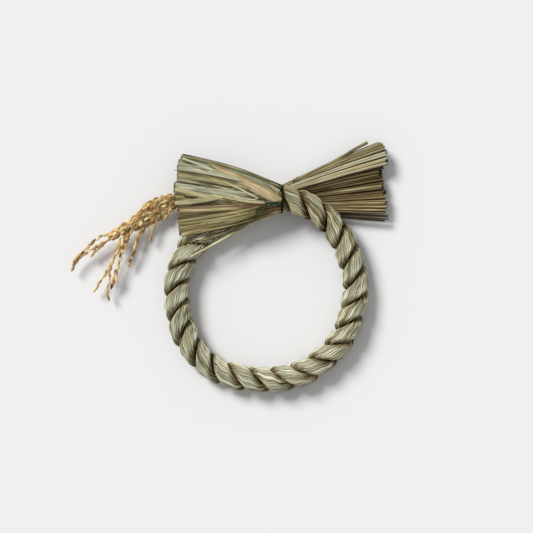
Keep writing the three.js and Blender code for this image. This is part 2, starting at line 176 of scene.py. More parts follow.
def smooth_line(points, steps):
    """A smooth line through the points, cut into equal steps."""
    points = np.asarray(points, float)
    ends = [2 * points[0] - points[1], *points, 2 * points[-1] - points[-2]]
    t = np.linspace(0, 1, 24, endpoint=False)[:, None]
    pieces = []
    for p0, p1, p2, p3 in zip(ends, ends[1:], ends[2:], ends[3:]):
        d0, d1, d2 = (np.linalg.norm(b - a) ** 0.5 for a, b in ((p0, p1), (p1, p2), (p2, p3)))
        leaving = ((p1 - p0) / d0 - (p2 - p0) / (d0 + d1) + (p2 - p1) / d1) * d1
        arriving = ((p2 - p1) / d1 - (p3 - p1) / (d1 + d2) + (p3 - p2) / d2) * d1
        start = (2 * t**3 - 3 * t**2 + 1) * p1 + (t**3 - 2 * t**2 + t) * leaving
        end = (3 * t**2 - 2 * t**3) * p2 + (t**3 - t**2) * arriving
        pieces.append(start + end)
    line = np.vstack([*pieces, points[-1:]])
    travelled = travelled_along(line)
    even = np.linspace(0, travelled[-1], steps + 1)
    return np.stack([np.interp(even, travelled, line[:, axis]) for axis in range(3)], axis=1)


def travelled_along(line):
    """How far each point of a line lies along it."""
    return np.concatenate([[0], np.cumsum(np.linalg.norm(np.diff(line, axis=0), axis=1))])


def slow_noise(random, count, spacing):
    """A slowly changing value from -1 to 1 for each of count steps, new every spacing steps."""
    turns = random.uniform(-1, 1, int(count / spacing) + 3)
    return np.interp(np.arange(count) / spacing, np.arange(len(turns)), turns)


def new_object(name, data):
    made = bpy.data.objects.new(name, data)
    bpy.context.scene.collection.objects.link(made)
    return made


# Bundles of straw

def round_section(corners):
    turn = TAU * np.arange(corners) / corners
    return np.stack([np.cos(turn), np.sin(turn)], axis=1) / 2


def leaf_section(crown):
    """A thin arched leaf: places across its width, and heights as shares of its width and thickness."""
    across = np.array([-0.5, -0.27, 0, 0.27, 0.5, 0.27, 0, -0.27])
    arch = crown * (1 - 4 * across**2)
    side = np.array([0, 0.5, 0.5, 0.5, 0, -0.5, -0.5, -0.5])
    return np.stack([across, arch, side], axis=1)


class Bundle:
    """Straws, leaves, grains or threads gathered into one mesh.

    straw_run holds how far a point lies along and across its straw, and the straw's number.
    straw_look holds its tone, dark to light, its hue, green to tan, and how deep it lies, which the material
    paints as shade.
    """

    def __init__(self, seed):
        self.random = np.random.default_rng(seed)
        self.points = []
        self.faces = []
        self.run = []
        self.look = []
        self.size = 0
        self.members = 0

    def skin(self, rings, tone=0.5, hue=0.5, deep=0.0):
        """Adds one closed tube over rings of points, shaped (rings, corners, 3)."""
        count, corners = rings.shape[:2]
        index = np.arange(count * corners).reshape(count, corners)
        a = index[:-1]
        b = index[1:]
        quads = np.stack([a, np.roll(a, -1, 1), np.roll(b, -1, 1), b], axis=-1).reshape(-1, 4)
        middle = rings.mean(axis=1)
        flat = rings.reshape(-1, 3)
        spokes = flat[quads] - np.repeat(middle[:-1], corners, axis=0)[:, None]
        facing = np.cross(spokes[:, 1] - spokes[:, 0], spokes[:, 3] - spokes[:, 0])
        outside = np.einsum("ij,ij->i", facing, spokes[:, 0]).sum() > 0
        caps = [index[0, ::-1], index[-1]]
        faces = [*quads, *caps] if outside else [face[::-1] for face in [*quads, *caps]]
        self.faces.extend((face + self.size).tolist() for face in faces)
        self.points.append(flat)
        along = travelled_along(middle)[:, None] + np.zeros((1, corners))
        around = np.linalg.norm(np.roll(rings, -1, axis=1) - rings, axis=2).cumsum(axis=1)
        number = np.full((count, corners), float(self.members))
        self.run.append(np.stack([along, around, number], axis=-1).reshape(-1, 3))
        looks = [np.broadcast_to(value, (count, corners)) for value in (tone, hue, deep)]
        self.look.append(np.stack(looks, axis=-1).reshape(-1, 3))
        self.size += count * corners
        self.members += 1

    def strip(self, line, section, width, thickness, up=UP, roll=0.0, along=None, **look):
        """Adds a straw or leaf along a line, with its section's crown towards up and, where along
        isn't given, square to the line."""
        if along is None:
            along = unit(np.gradient(line, axis=0))
        wide = unit(np.cross(np.broadcast_to(up, line.shape), along))
        thick = np.cross(along, wide)
        given = (roll, width, thickness)
        roll, width, thickness = (np.broadcast_to(value, len(line))[:, None] for value in given)
        wide, thick = (wide * np.cos(roll) + thick * np.sin(roll), thick * np.cos(roll) - wide * np.sin(roll))
        if section.shape[1] == 2:
            height = section[:, 1] * thickness
        else:
            height = section[:, 1] * width + section[:, 2] * thickness
        across = section[:, 0] * width
        rings = line[:, None] + wide[:, None] * across[..., None] + thick[:, None] * height[..., None]
        self.skin(rings, **look)

    def piece(self, name, material, slot, *nodes):
        """The finished mesh, standing in for the CAD nodes."""
        mesh = bpy.data.meshes.new(name)
        mesh.from_pydata(in_place(np.vstack(self.points)).tolist(), [], self.faces)
        for attribute, values in (("straw_run", self.run), ("straw_look", self.look)):
            made = mesh.attributes.new(attribute, "FLOAT_VECTOR", "POINT")
            made.data.foreach_set("vector", np.vstack(values).astype(np.float32).ravel())
        mesh.shade_smooth()
        mesh.set_sharp_from_angle(angle=SHARP_FROM)
        mesh.materials.append(material)
        made = new_object(name, mesh)
        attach(made, "root")
        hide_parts(*nodes)


# Materials

def add(tree, kind, inputs, **settings):
    """Adds a node, sets it up, and links or sets its inputs."""
    made = tree.nodes.new(kind)
    for name, value in settings.items():
        setattr(made, name, value)
    for socket, value in inputs.items():
        if isinstance(value, bpy.types.NodeSocket):
            tree.links.new(value, made.inputs[socket])
        else:
            made.inputs[socket].default_value = value
    return made


def calculate(tree, operation, *values, clamp=False):
    made = add(tree, "ShaderNodeMath", dict(enumerate(values)), operation=operation, use_clamp=clamp)
    return made.outputs[0]


def new_material(name):
    """A new material, its node tree and its shader's inputs."""
    material = bpy.data.materials.new(name)
    material.use_nodes = True
    tree = material.node_tree
    return material, tree, tree.nodes["Principled BSDF"].inputs


def read(tree, attribute):
    """A value that each point of the mesh carries."""
    return add(tree, "ShaderNodeAttribute", {}, attribute_name=attribute).outputs["Vector"]


def set_in(tree, group, inputs):
    """A shader node group, set into a material with its own values."""
    return add(tree, "ShaderNodeGroup", inputs, node_tree=bpy.data.node_groups[group])


def noise_at(tree, along, across, own_place, **settings):
    """Noise over a straw's length and width."""
    at = add(tree, "ShaderNodeCombineXYZ", {"X": along, "Y": across, "Z": own_place})
    return add(tree, "ShaderNodeTexNoise", {"Vector": at.outputs[0], **settings}).outputs[0]


def stretched(tree, value, low, high):
    """The value from low to high, as 0 to 1."""
    made = add(tree, "ShaderNodeMapRange", {"Value": value, "From Min": low, "From Max": high})
    return made.outputs[0]


def swing(tree, value, share):
    """A value from 0 to 1 as half the share below and above 0."""
    return calculate(tree, "MULTIPLY_ADD", value, share, -share / 2)


def add_relief(tree, shader, height, strength, millimetres):
    relief = {"Height": height, "Strength": strength, "Distance": millimetres * MILLIMETRE}
    tree.links.new(add(tree, "ShaderNodeBump", relief).outputs[0], shader["Normal"])


def blend(tree, share, first, second):
    """The first colour where share is 0, and the second where it is 1."""
    return add(tree, "ShaderNodeMix", {0: share, 6: first, 7: second}, data_type="RGBA").outputs[2]


def new_group(name, inputs, outputs):
    group = bpy.data.node_groups.new(name, "ShaderNodeTree")
    for title, kind in inputs.items():
        group.interface.new_socket(title, in_out="INPUT", socket_type=kind)
    for title, kind in outputs.items():
        group.interface.new_socket(title, in_out="OUTPUT", socket_type=kind)
    return group, group.nodes.new("NodeGroupInput").outputs, group.nodes.new("NodeGroupOutput").inputs


OWN_GRAIN = 7.31  # from one straw's grain to the next one's
LINE_CHANGES = 0.05  # of the fine lines, for each millimetre along a straw
PATCH_ACROSS = 0.25  # changes of the patches, for each millimetre across a straw
SPECK_SHARE = 0.35


def straw_grain_group():
    """Fine lines along a straw, and longer patches where it is paler or darker."""
    group, given, result = new_group(
        "straw_grain",
        {"Run": "NodeSocketVector", "Lines per mm": "NodeSocketFloat", "Patch per mm": "NodeSocketFloat"},
        {"Lines": "NodeSocketFloat", "Patches": "NodeSocketFloat", "Specks": "NodeSocketFloat"},
    )
    along, across, number = add(group, "ShaderNodeSeparateXYZ", {0: given["Run"]}).outputs
    own_place = calculate(group, "MULTIPLY", number, OWN_GRAIN)
    lines_along = calculate(group, "MULTIPLY", along, LINE_CHANGES)
    lines_across = calculate(group, "MULTIPLY", across, given["Lines per mm"])
    lines = noise_at(group, lines_along, lines_across, own_place, Scale=1.0, Detail=2.0)
    patch_along = calculate(group, "MULTIPLY", along, given["Patch per mm"])
    patch_across = calculate(group, "MULTIPLY", across, PATCH_ACROSS)
    patches = noise_at(group, patch_along, patch_across, own_place, Scale=1.0, Detail=3.0)
    specks = noise_at(group, along, across, own_place, Scale=0.9, Detail=1.0)
    group.links.new(stretched(group, lines, 0.3, 0.7), result["Lines"])
    group.links.new(stretched(group, patches, 0.3, 0.7), result["Patches"])
    group.links.new(stretched(group, specks, 0.66, 0.76), result["Specks"])
    return group


def straw_colour_group():
    """One straw colour from dark over middle to light."""
    colour = "NodeSocketColor"
    group, given, result = new_group(
        "straw_colour",
        {"Tone": "NodeSocketFloat", "Dark": colour, "Middle": colour, "Light": colour},
        {"Color": colour},
    )
    lower = calculate(group, "MULTIPLY", given["Tone"], 2.0, clamp=True)
    upper = calculate(group, "MULTIPLY_ADD", given["Tone"], 2.0, -1.0, clamp=True)
    darker = blend(group, lower, given["Dark"], given["Middle"])
    group.links.new(blend(group, upper, darker, given["Light"]), result["Color"])
    return group


def straw_material(name, colours, shade_and_speck_colour, lines_per_mm, patch_per_mm, line_share, patch_share,
                   roughness, relief):
    """Dry straw. colours are three sets, green, khaki and tan, each of dark, middle and light."""
    material, tree, shader = new_material(name)
    run = read(tree, "straw_run")
    tone, hue, deep = add(tree, "ShaderNodeSeparateXYZ", {0: read(tree, "straw_look")}).outputs
    grain_given = {"Run": run, "Lines per mm": lines_per_mm, "Patch per mm": patch_per_mm}
    grain = set_in(tree, "straw_grain", grain_given).outputs
    patches = swing(tree, grain["Patches"], patch_share)
    uneven = calculate(tree, "ADD", swing(tree, grain["Lines"], line_share), patches)
    toned = calculate(tree, "ADD", tone, uneven, clamp=True)
    hued = calculate(tree, "ADD", hue, patches, clamp=True)
    painted = []
    for dark, middle, light in colours:
        given = {"Tone": toned, "Dark": (*dark, 1), "Middle": (*middle, 1), "Light": (*light, 1)}
        painted.append(set_in(tree, "straw_colour", given).outputs["Color"])
    to_khaki = calculate(tree, "MULTIPLY", hued, 2.0, clamp=True)
    to_tan = calculate(tree, "MULTIPLY_ADD", hued, 2.0, -1.0, clamp=True)
    colour = blend(tree, to_tan, blend(tree, to_khaki, painted[0], painted[1]), painted[2])
    specks = calculate(tree, "MULTIPLY", grain["Specks"], SPECK_SHARE)
    speckled = blend(tree, specks, colour, (*shade_and_speck_colour, 1))
    # Painted shade: the depth in straw_look darkens the colour towards the deep colour, which also colours
    # the specks
    tree.links.new(blend(tree, deep, speckled, (*shade_and_speck_colour, 1)), shader["Base Color"])
    low, high = roughness
    rough = add(tree, "ShaderNodeMapRange", {"Value": grain["Lines"], "To Min": high, "To Max": low})
    tree.links.new(rough.outputs[0], shader["Roughness"])
    add_relief(tree, shader, grain["Lines"], 0.6, relief)
    shader["Specular IOR Level"].default_value = 0.22
    return material


THREAD_DARK = (0.004, 0.006, 0.003)
THREAD_LIGHT = (0.034, 0.09, 0.042)


def thread_material():
    """Dark green cotton, from nearly black to a paler green by the tone each strand carries, with fine uneven
    fuzz.
    """
    material, tree, shader = new_material("thread_cotton")
    tone = add(tree, "ShaderNodeSeparateXYZ", {0: read(tree, "straw_look")}).outputs[0]
    fuzz_given = {"Vector": read(tree, "straw_run"), "Scale": 3.0, "Detail": 3.0}
    fuzz = add(tree, "ShaderNodeTexNoise", fuzz_given).outputs[0]
    toned = calculate(tree, "ADD", tone, swing(tree, fuzz, 0.4), clamp=True)
    colour = blend(tree, toned, (*THREAD_DARK, 1), (*THREAD_LIGHT, 1))
    tree.links.new(colour, shader["Base Color"])
    add_relief(tree, shader, fuzz, 0.5, 0.1)
    shader["Roughness"].default_value = 0.9
    shader["Specular IOR Level"].default_value = 0.15
    return material


straw_grain_group()
straw_colour_group()

# Colours, each as dark, middle and light
GREEN = ((0.075, 0.07, 0.03), (0.33, 0.325, 0.205), (0.77, 0.78, 0.60))
KHAKI = ((0.08, 0.052, 0.018), (0.35, 0.30, 0.145), (0.80, 0.75, 0.50))
TAN = ((0.08, 0.042, 0.018), (0.35, 0.245, 0.115), (0.72, 0.58, 0.37))
ROPE_STRAW = straw_material(
    "rope_straw", (GREEN, KHAKI, TAN), (0.045, 0.03, 0.01),
    lines_per_mm=1.1, patch_per_mm=0.035, line_share=0.7, patch_share=0.35,
    roughness=(0.42, 0.7), relief=0.25,
)
LEAF_GREEN = ((0.075, 0.08, 0.04), (0.29, 0.295, 0.20), (0.64, 0.65, 0.50))
LEAF_KHAKI = ((0.075, 0.052, 0.015), (0.27, 0.225, 0.085), (0.60, 0.54, 0.28))
LEAF_TAN = ((0.08, 0.045, 0.02), (0.31, 0.225, 0.115), (0.60, 0.48, 0.29))
LEAF_STRAW = straw_material(
    "leaf_straw", (LEAF_GREEN, LEAF_KHAKI, LEAF_TAN), (0.04, 0.026, 0.008),
    lines_per_mm=0.9, patch_per_mm=0.03, line_share=0.55, patch_share=0.3,
    roughness=(0.45, 0.72), relief=0.2,
)
STEM_GREEN = ((0.05, 0.045, 0.018), (0.23, 0.21, 0.11), (0.60, 0.58, 0.41))
STEM_KHAKI = ((0.04, 0.028, 0.008), (0.20, 0.155, 0.06), (0.55, 0.48, 0.26))
STEM_TAN = ((0.035, 0.018, 0.006), (0.20, 0.125, 0.05), (0.54, 0.40, 0.22))
STEM_STRAW = straw_material(
    "stem_straw", (STEM_GREEN, STEM_KHAKI, STEM_TAN), (0.02, 0.013, 0.005),
    lines_per_mm=0.7, patch_per_mm=0.025, line_share=0.4, patch_share=0.3,
    roughness=(0.38, 0.62), relief=0.15,
)
EAR_GREEN = ((0.14, 0.09, 0.025), (0.50, 0.37, 0.14), (0.84, 0.70, 0.40))
EAR_GOLD = ((0.14, 0.065, 0.02), (0.54, 0.345, 0.13), (0.87, 0.70, 0.40))
EAR_BROWN = ((0.10, 0.035, 0.01), (0.38, 0.18, 0.06), (0.70, 0.44, 0.20))
EAR_HUSK = straw_material(
    "rice_husk", (EAR_GREEN, EAR_GOLD, EAR_BROWN), (0.16, 0.08, 0.03),
    lines_per_mm=1.6, patch_per_mm=0.15, line_share=0.35, patch_share=0.4,
    roughness=(0.5, 0.7), relief=0.2,
)
THREAD_COTTON = thread_material()


# Rope

BROWNED = (35, 80)  # degrees up to which the right shoulder is browner, less and less
PAINTED_LIGHT_LEFT_SHOULDER = (308, 328)  # and from which the left one is painted paler, more and more: painted light against the left fan's shadow on it
FIBRES = [  # for each strand: how many, from and to these degrees, their thickness and their lift
    (90, 24, 345, 0.5, 1.8),
    (120, 298, 334, 1.0, 0.3),
]
INNER_FIBRES = [  # they stand off the ring's inner edge and meet in a point
    [(-79, -26, 17), (-74, -33.4, 17), (-69.2, -41, 16)],
    [(-69.2, -41, 16), (-69.6, -46, 15), (-71.6, -51.6, 14)],
]


def depth_of(layer):
    return layer["high"] - layer["low"]


def ring_point(degrees, distance):
    angle = math.radians(degrees)
    climb = smoothstep(LIFT_FROM - degrees, 0, LIFT_FROM - CLIMB_TO) * (UPPER_LAYER["middle"] - RING_HEIGHT)
    sink = smoothstep(degrees, SINK_FROM, SINK_TO) * (LOWER_LAYER["middle"] - RING_HEIGHT)
    return (distance * math.sin(angle), distance * math.cos(angle), RING_HEIGHT + climb + sink)


def lay_phase(degrees):
    """How far the two strands have turned about each other at each place on the ring."""
    reach = EASES_TO - EASES_FROM
    within = np.clip(degrees - EASES_FROM, 0, reach)
    eased = EASE * (within**2 / (2 * reach) + np.maximum(degrees - EASES_TO, 0))
    return math.pi / 2 + math.pi * (degrees - eased - LAY_START) / HALF_LAY


def rope_sections():
    """The rope's axis from the tie round the ring and back, and how its section lies and is pressed."""
    x, y = BINDING
    upper = UPPER_LAYER["middle"]
    lower = LOWER_LAYER["middle"]
    points = [
        (x, y, upper),
        (x + UPPER_ENTRY["back"], y - UPPER_ENTRY["drop"], upper),
        *(ring_point(*bend) for bend in RING_BEND),
        (x - LOWER_ENTRY["back"], y - LOWER_ENTRY["drop"], lower),
        (x, y, lower),
    ]
    middle = smooth_line(points, ROPE_STEPS)
    travelled = travelled_along(middle)
    to_tie = np.minimum(travelled, travelled[-1] - travelled)
    along = unit(np.gradient(middle, axis=0))
    flat_out = unit(np.stack([-along[:, 1], along[:, 0], 0 * along[:, 2]], axis=1))
    square = (1 - smoothstep(to_tie, 0, STRAIGHT_ENTRY))[:, None]
    pressed = 1 - smoothstep(to_tie, PRESSED_NEAR, PRESSED_FAR)
    upward = unit(UP - along * along[:, 2:])
    degrees = np.degrees(np.unwrap(np.arctan2(middle[:, 0], middle[:, 1])))
    first_half = travelled < travelled[-1] / 2
    layer_depth = np.where(first_half, depth_of(UPPER_LAYER), depth_of(LOWER_LAYER))
    return {
        "middle": middle,
        "outward": unit(mix(flat_out, np.array([0.0, 1.0, 0.0]), square)),
        "upward": unit(mix(upward, UP, pressed[:, None])),
        "wide": mix(1, BUNDLE_HEIGHT / ROPE_DEPTH, pressed),
        "deep": mix(1, layer_depth / ROPE_DEPTH, pressed),
        "phase": lay_phase(degrees),
        "browned": 1 - smoothstep(degrees, *BROWNED),
        "paler": smoothstep(degrees, *PAINTED_LIGHT_LEFT_SHOULDER),
        "degrees": degrees,
    }


def on_strand(sections, part, start, turn, raised):
    """Points on a strand's skin. Also how deep each lies in the groove beside the other strand, painted as
    shade, and how far out it lies on the strand's crown, painted paler as a highlight, both from 0 to 1."""
    turned = (sections["phase"][part] + start)[:, None]
    forward = np.cos(turn)
    fullness = np.where(forward < 0, STRAND_FLATNESS, 1.0)
    forward = np.sign(forward) * np.abs(forward) ** fullness
    swell = 1 + STRAND_SWELL * (0.6 * np.sin(1.7 * turned + start) + 0.4 * np.sin(0.61 * turned))
    away = (STRAND_GAP + STRAND_DEPTH) / 2 + (STRAND_DEPTH / 2 * swell + raised) * forward
    across = (STRAND_WIDTH / 2 * swell + raised) * np.sin(turn)
    out = (away * np.cos(turned) - across * np.sin(turned)) * sections["wide"][part][:, None]
    up = (away * np.sin(turned) + across * np.cos(turned)) * sections["deep"][part][:, None]
    points = (
        sections["middle"][part][:, None]
        + sections["outward"][part][:, None] * out[..., None]
        + sections["upward"][part][:, None] * up[..., None]
    )
    beyond = ((-away - (STRAND_GAP + STRAND_DEPTH) / 2) / (STRAND_DEPTH / 2)) ** 2
    beside = (across / (STRAND_WIDTH / 2)) ** 2
    outer = beyond + beside
    return points, 1 - smoothstep(outer, *GROOVE_PAINTED_SHADE), smoothstep(outer, *CROWN_PAINTED_HIGHLIGHT)


def straw_ends(random, count):
    """The first and the last step of each straw of a row."""
    ends = [0]
    while ends[-1] < count - 1:
        ends.append(ends[-1] + int(random.uniform(*STRAW_LENGTHS)))
    ends[-1] = count - 1
    return zip(ends[:-1], ends[1:])


def rope_strand(sections, start, seed):
    """One strand: a dark core, painted shade that shows between the straws, and rows of straws side by side
    round it.
    """
    bundle = Bundle(seed)
    random = bundle.random
    count = ROPE_STEPS + 1
    around = TAU * np.arange(12) / 12
    turned = (sections["phase"] + start)[:, None]
    core, _, _ = on_strand(sections, slice(0, count), start, around - OWN_TWIST * turned, -CORE_SINKS)
    # Painted shade: the core is dark so that the gaps between the straws look shaded
    bundle.skin(core, tone=0.1, hue=0.7, deep=0.7)
    shares = np.exp(STRAW_WIDTHS_DIFFER * random.standard_normal(STRAWS_PER_STRAND))
    edges = TAU * np.concatenate([[0], np.cumsum(shares)]) / shares.sum()
    bleached = 0.1 * slow_noise(random, count, 9)
    for low, high in zip(edges[:-1], edges[1:]):
        for first, last in straw_ends(random, count):
            part = slice(max(first - STRAW_LAP, 0), min(last + STRAW_LAP + 1, count))
            add_rope_straw(bundle, sections, start, part, low, high, bleached[part])
    return bundle


def add_rope_straw(bundle, sections, start, part, low, high, bleached):
    """One straw of a strand, between two angles round it, narrower and sunk at its ends."""
    random = bundle.random
    steps = part.stop - part.start
    from_end = np.minimum(np.arange(steps), steps - 1 - np.arange(steps))
    inside = smoothstep(from_end, 0, STRAW_LAP + 1)
    if part.start == 0:
        inside[: steps // 2] = 1
    if part.stop == ROPE_STEPS + 1:
        inside[steps // 2:] = 1
    middle_turn = (low + high) / 2 + 0.012 * slow_noise(random, steps, SLOW_STEPS)
    width = (high - low) * mix(0.3, 1.1, inside)
    tilt = 0.14 * slow_noise(random, steps, SLOW_STEPS)
    own_lift = random.choice(STRAW_LIFTS)
    lift = own_lift + 0.06 * slow_noise(random, steps, SLOW_STEPS) - END_SINKS * (1 - inside)
    turned = sections["phase"][part] + start
    turn = (middle_turn - OWN_TWIST * turned)[:, None] + STRAW_ACROSS * width[:, None]
    raised = -STRAW_SINKS + STRAW_ABOVE + lift[:, None] + STRAW_ACROSS * 2 * tilt[:, None]
    rings, deep, crown = on_strand(sections, part, start, turn, raised)
    browned = sections["browned"][part]
    tone = np.clip(random.normal(0.55, 0.23), 0.0, 1) + 0.1 * slow_noise(random, steps, SLOW_STEPS)
    # Painted light: the left shoulder is made paler where the left fan shades it
    tone = tone + bleached - 0.2 * browned + 0.42 * sections["paler"][part]
    hue = np.clip(random.normal(0.5, 0.14), 0, 1)
    if random.uniform() < 0.08 + 0.1 * browned[0]:
        hue = 0.95
    hue = hue + 0.8 * bleached + 0.24 * browned
    # Painted light: the straw is paler on the strand's crown and on the rope's upper side, and darker and
    # browner in the groove between the strands, along its sides and on the rope's underside
    crevice_shade = random.uniform(0.6, 1.35) * ROPE_CREVICE_SHADE * (1 - 0.15 * crown)
    # painted light from above: 1 on the rope's upper side, 0 on its underside
    above = smoothstep(rings[..., 2] - sections["middle"][part][:, None, 2], -5, 8)
    bundle.skin(
        rings,
        tone=tone[:, None] + 0.4 * crown + 0.28 * above - 0.29,
        hue=hue[:, None] - 0.4 * crown + 0.2 * deep + 0.2 * (1 - above),
        deep=np.maximum(0.92 * deep, crevice_shade),
    )


def add_rope_fibres(bundle, sections, start, count, from_degrees, to_degrees, thickness, lift):
    """Thin fibres that lie on a strand between two places on the ring, and lift off it at one end."""
    random = bundle.random
    low, high = np.searchsorted(sections["degrees"], (from_degrees, to_degrees))
    for _ in range(count):
        first = int(random.uniform(low, high))
        steps = int(random.uniform(6, 16))
        part = slice(first, first + steps)
        turned = sections["phase"][part] + start
        rooted = random.uniform(0, TAU) - OWN_TWIST * turned
        turn = rooted + np.linspace(0, random.uniform(-0.5, 0.5), steps)
        raised = 0.3 + lift * np.linspace(0, 1, steps) ** 3 * random.uniform(0.2, 1)
        line, _, _ = on_strand(sections, part, start, turn[:, None], raised[:, None])
        width = thickness * np.linspace(1, 0.4, steps)
        tone = random.choice([0.15, 0.75, 1.0])
        bundle.strip(line[:, 0], round_section(4), width, width, tone=tone, hue=random.uniform(0.3, 0.7))


def add_inner_fibres(bundle):
    for way in INNER_FIBRES:
        line = smooth_line(way, 14)
        bundle.strip(line, round_section(4), 0.7, 0.7, tone=0.9, hue=0.5)


# Fans

def neck_point(layer, direction, place, level):
    """Where a straw leaves the tie: place from the lower edge, 0, to the upper one, 1, and level from
    the back of the layer, -1, to its front, 1."""
    inside = 1.2
    across = (place - 0.5) * (BUNDLE_HEIGHT - 2 * inside)
    roundness = math.sqrt(1 - (2 * across / BUNDLE_HEIGHT) ** 2)
    depth = depth_of(layer) / 2 - inside
    z = layer["middle"] + level * depth * roundness
    return np.array([BINDING[0] - direction, BINDING[1] + across, z])


def fan_line(start, end, bow, dip, steps):
    """The way of one straw from the tie to its cut end, bowed sideways and dipping on the way."""
    t = np.linspace(0, 1, steps + 1)[:, None]
    line = start + (np.asarray(end) - start) * t
    line[:, 1:2] += bow * np.sin(math.pi * t)
    line[:, 2:3] += dip * np.sin(math.pi * np.minimum(1.6 * t, 1))
    return line


def up_the_fan(values, place):
    """A value between a fan's lower edge, where place is 0, and its upper one, where it is 1."""
    return mix(values["lower"], values["upper"], place)


def leaf_green(place):
    """How green a leaf of the left fan is, khaki below and green above."""
    return smoothstep(place, 0.42, 0.6)


def on_left_fan(x, y, above):
    """The point on the left fan's leaves that the camera sees at x and y of the floor."""
    t = (BINDING[0] - x) / (BINDING[0] - LEFT_FAN["end"])
    upper_edge = mix(BINDING[1] + BUNDLE_HEIGHT / 2, LEFT_FAN["top"], t)
    lower_edge = mix(BINDING[1] - BUNDLE_HEIGHT / 2, LEFT_FAN["bottom"], t)
    place = np.clip((y - lower_edge) / (upper_edge - lower_edge), 0, 1)
    at_tie = neck_point(UPPER_LAYER, -1, place, 1)[2]
    at_end = up_the_fan(LEFT_FAN_HEIGHT, place) + LEAF_LAYER * (LEAF_LAYERS - 1)
    dip = up_the_fan(LEFT_FAN_DIP, place) * math.sin(math.pi * np.clip(1.6 * t, 0, 1))
    z = mix(at_tie, at_end, np.clip(t, 0, 1)) + dip + above
    nearer = 1 - (z - PICTURE_LEVEL) / CAMERA_HEIGHT
    x = mix(VIEW_MIDDLE[0], x, nearer)
    y = mix(VIEW_MIDDLE[1], y, nearer)
    return (x, y, z)


def left_fan():
    """Flat leaves and sheaths, layer on layer, green above and khaki to brown below."""
    bundle = Bundle(5)
    for layer in range(LEAF_LAYERS):
        leaves = TOP_LEAVES if layer == LEAF_LAYERS - 1 else LOWER_LEAVES
        for leaf in range(leaves):
            place = np.clip((leaf + 0.5 + bundle.random.uniform(-0.5, 0.5)) / leaves, 0.012, 0.988)
            add_leaf(bundle, layer, place)
    add_slivers(bundle, SLIVERS)
    add_own_leaves(bundle)
    add_slivers(bundle, MORE_SLIVERS)
    return bundle


def add_leaf(bundle, layer, place):
    """One leaf, with place from the fan's lower edge, 0, to its upper one, 1. It may cross others."""
    random = bundle.random
    crossing = random.normal(0, 0.05 if place < 0.1 or place > 0.9 else 0.1)
    if layer > 1 and place < 0.93:
        crossing = crossing - 0.3 * smoothstep(place, 0.45, 0.75)
    rooted = np.clip(place + crossing, 0.02, 0.98)
    start = neck_point(UPPER_LAYER, -1, rooted, 2 * layer / (LEAF_LAYERS - 1) - 1)
    width = random.uniform(*LEAF_WIDTHS)
    y = mix(LEFT_FAN["bottom"] + width / 2, LEFT_FAN["top"] - width / 2, place)
    z = up_the_fan(LEFT_FAN_HEIGHT, place) + LEAF_LAYER * layer
    x = np.interp(y, *np.transpose(LEFT_FAN_ENDS)) + random.uniform(-1.1, 2.2)
    end = (x, y, z + random.uniform(-0.6, 0.6))
    dip = up_the_fan(LEFT_FAN_DIP, place) + random.uniform(-0.6, 0.6)
    bow = mix(-3.0, 3.2, place) + random.uniform(-1.0, 1.0)
    line = fan_line(start, end, bow, dip, 18)
    t = np.linspace(0, 1, len(line))
    root = random.uniform(1.2, 2.4)
    widths = mix(root, width, smoothstep(t, 0, random.uniform(0.35, 1.0)))
    roll = random.uniform(-0.45, 0.45) + 0.3 * slow_noise(random, len(line), 7)
    green = leaf_green(place)
    hue = np.clip(random.normal(mix(0.62, 0.2, green), 0.17), 0, 1)
    tone = np.clip(random.normal(mix(0.38, 0.49, green), 0.2), 0.02, 1)
    # Darker and browner towards the tie: painted shade where the leaves crowd under the thread, and browner
    # straw there
    tone = tone - mix(0.4, 0.36, green) * (1 - smoothstep(t, 0.1, 0.5))
    hue = hue + 0.12 * (1 - smoothstep(t, 0.05, 0.6))
    # Painted shade: leaves of the lower layers are darker, as they lie under the others, less so near the
    # upper edge, where the light reaches them; a few leaves are darker at random
    on_top = layer == LEAF_LAYERS - 1
    inner = 0 if on_top else mix(0.85, 0.2, smoothstep(layer, 1, LEAF_LAYERS - 2))
    if random.uniform() < 0.07:
        inner = 0.8
    inner = inner * (1 - 0.8 * smoothstep(place, 0.88, 0.96))
    section = leaf_section(random.uniform(0.04, 0.2) * random.choice([1, 1, 1, -1]))
    look = {
        "tone": tone[:, None],
        "hue": hue[:, None],
        "deep": np.maximum(inner, random.uniform(0.3, 1) * LEAF_CREVICE_SHADE),
    }
    bundle.strip(line, section, widths, LEAF_THICKNESS, roll=roll, **look)
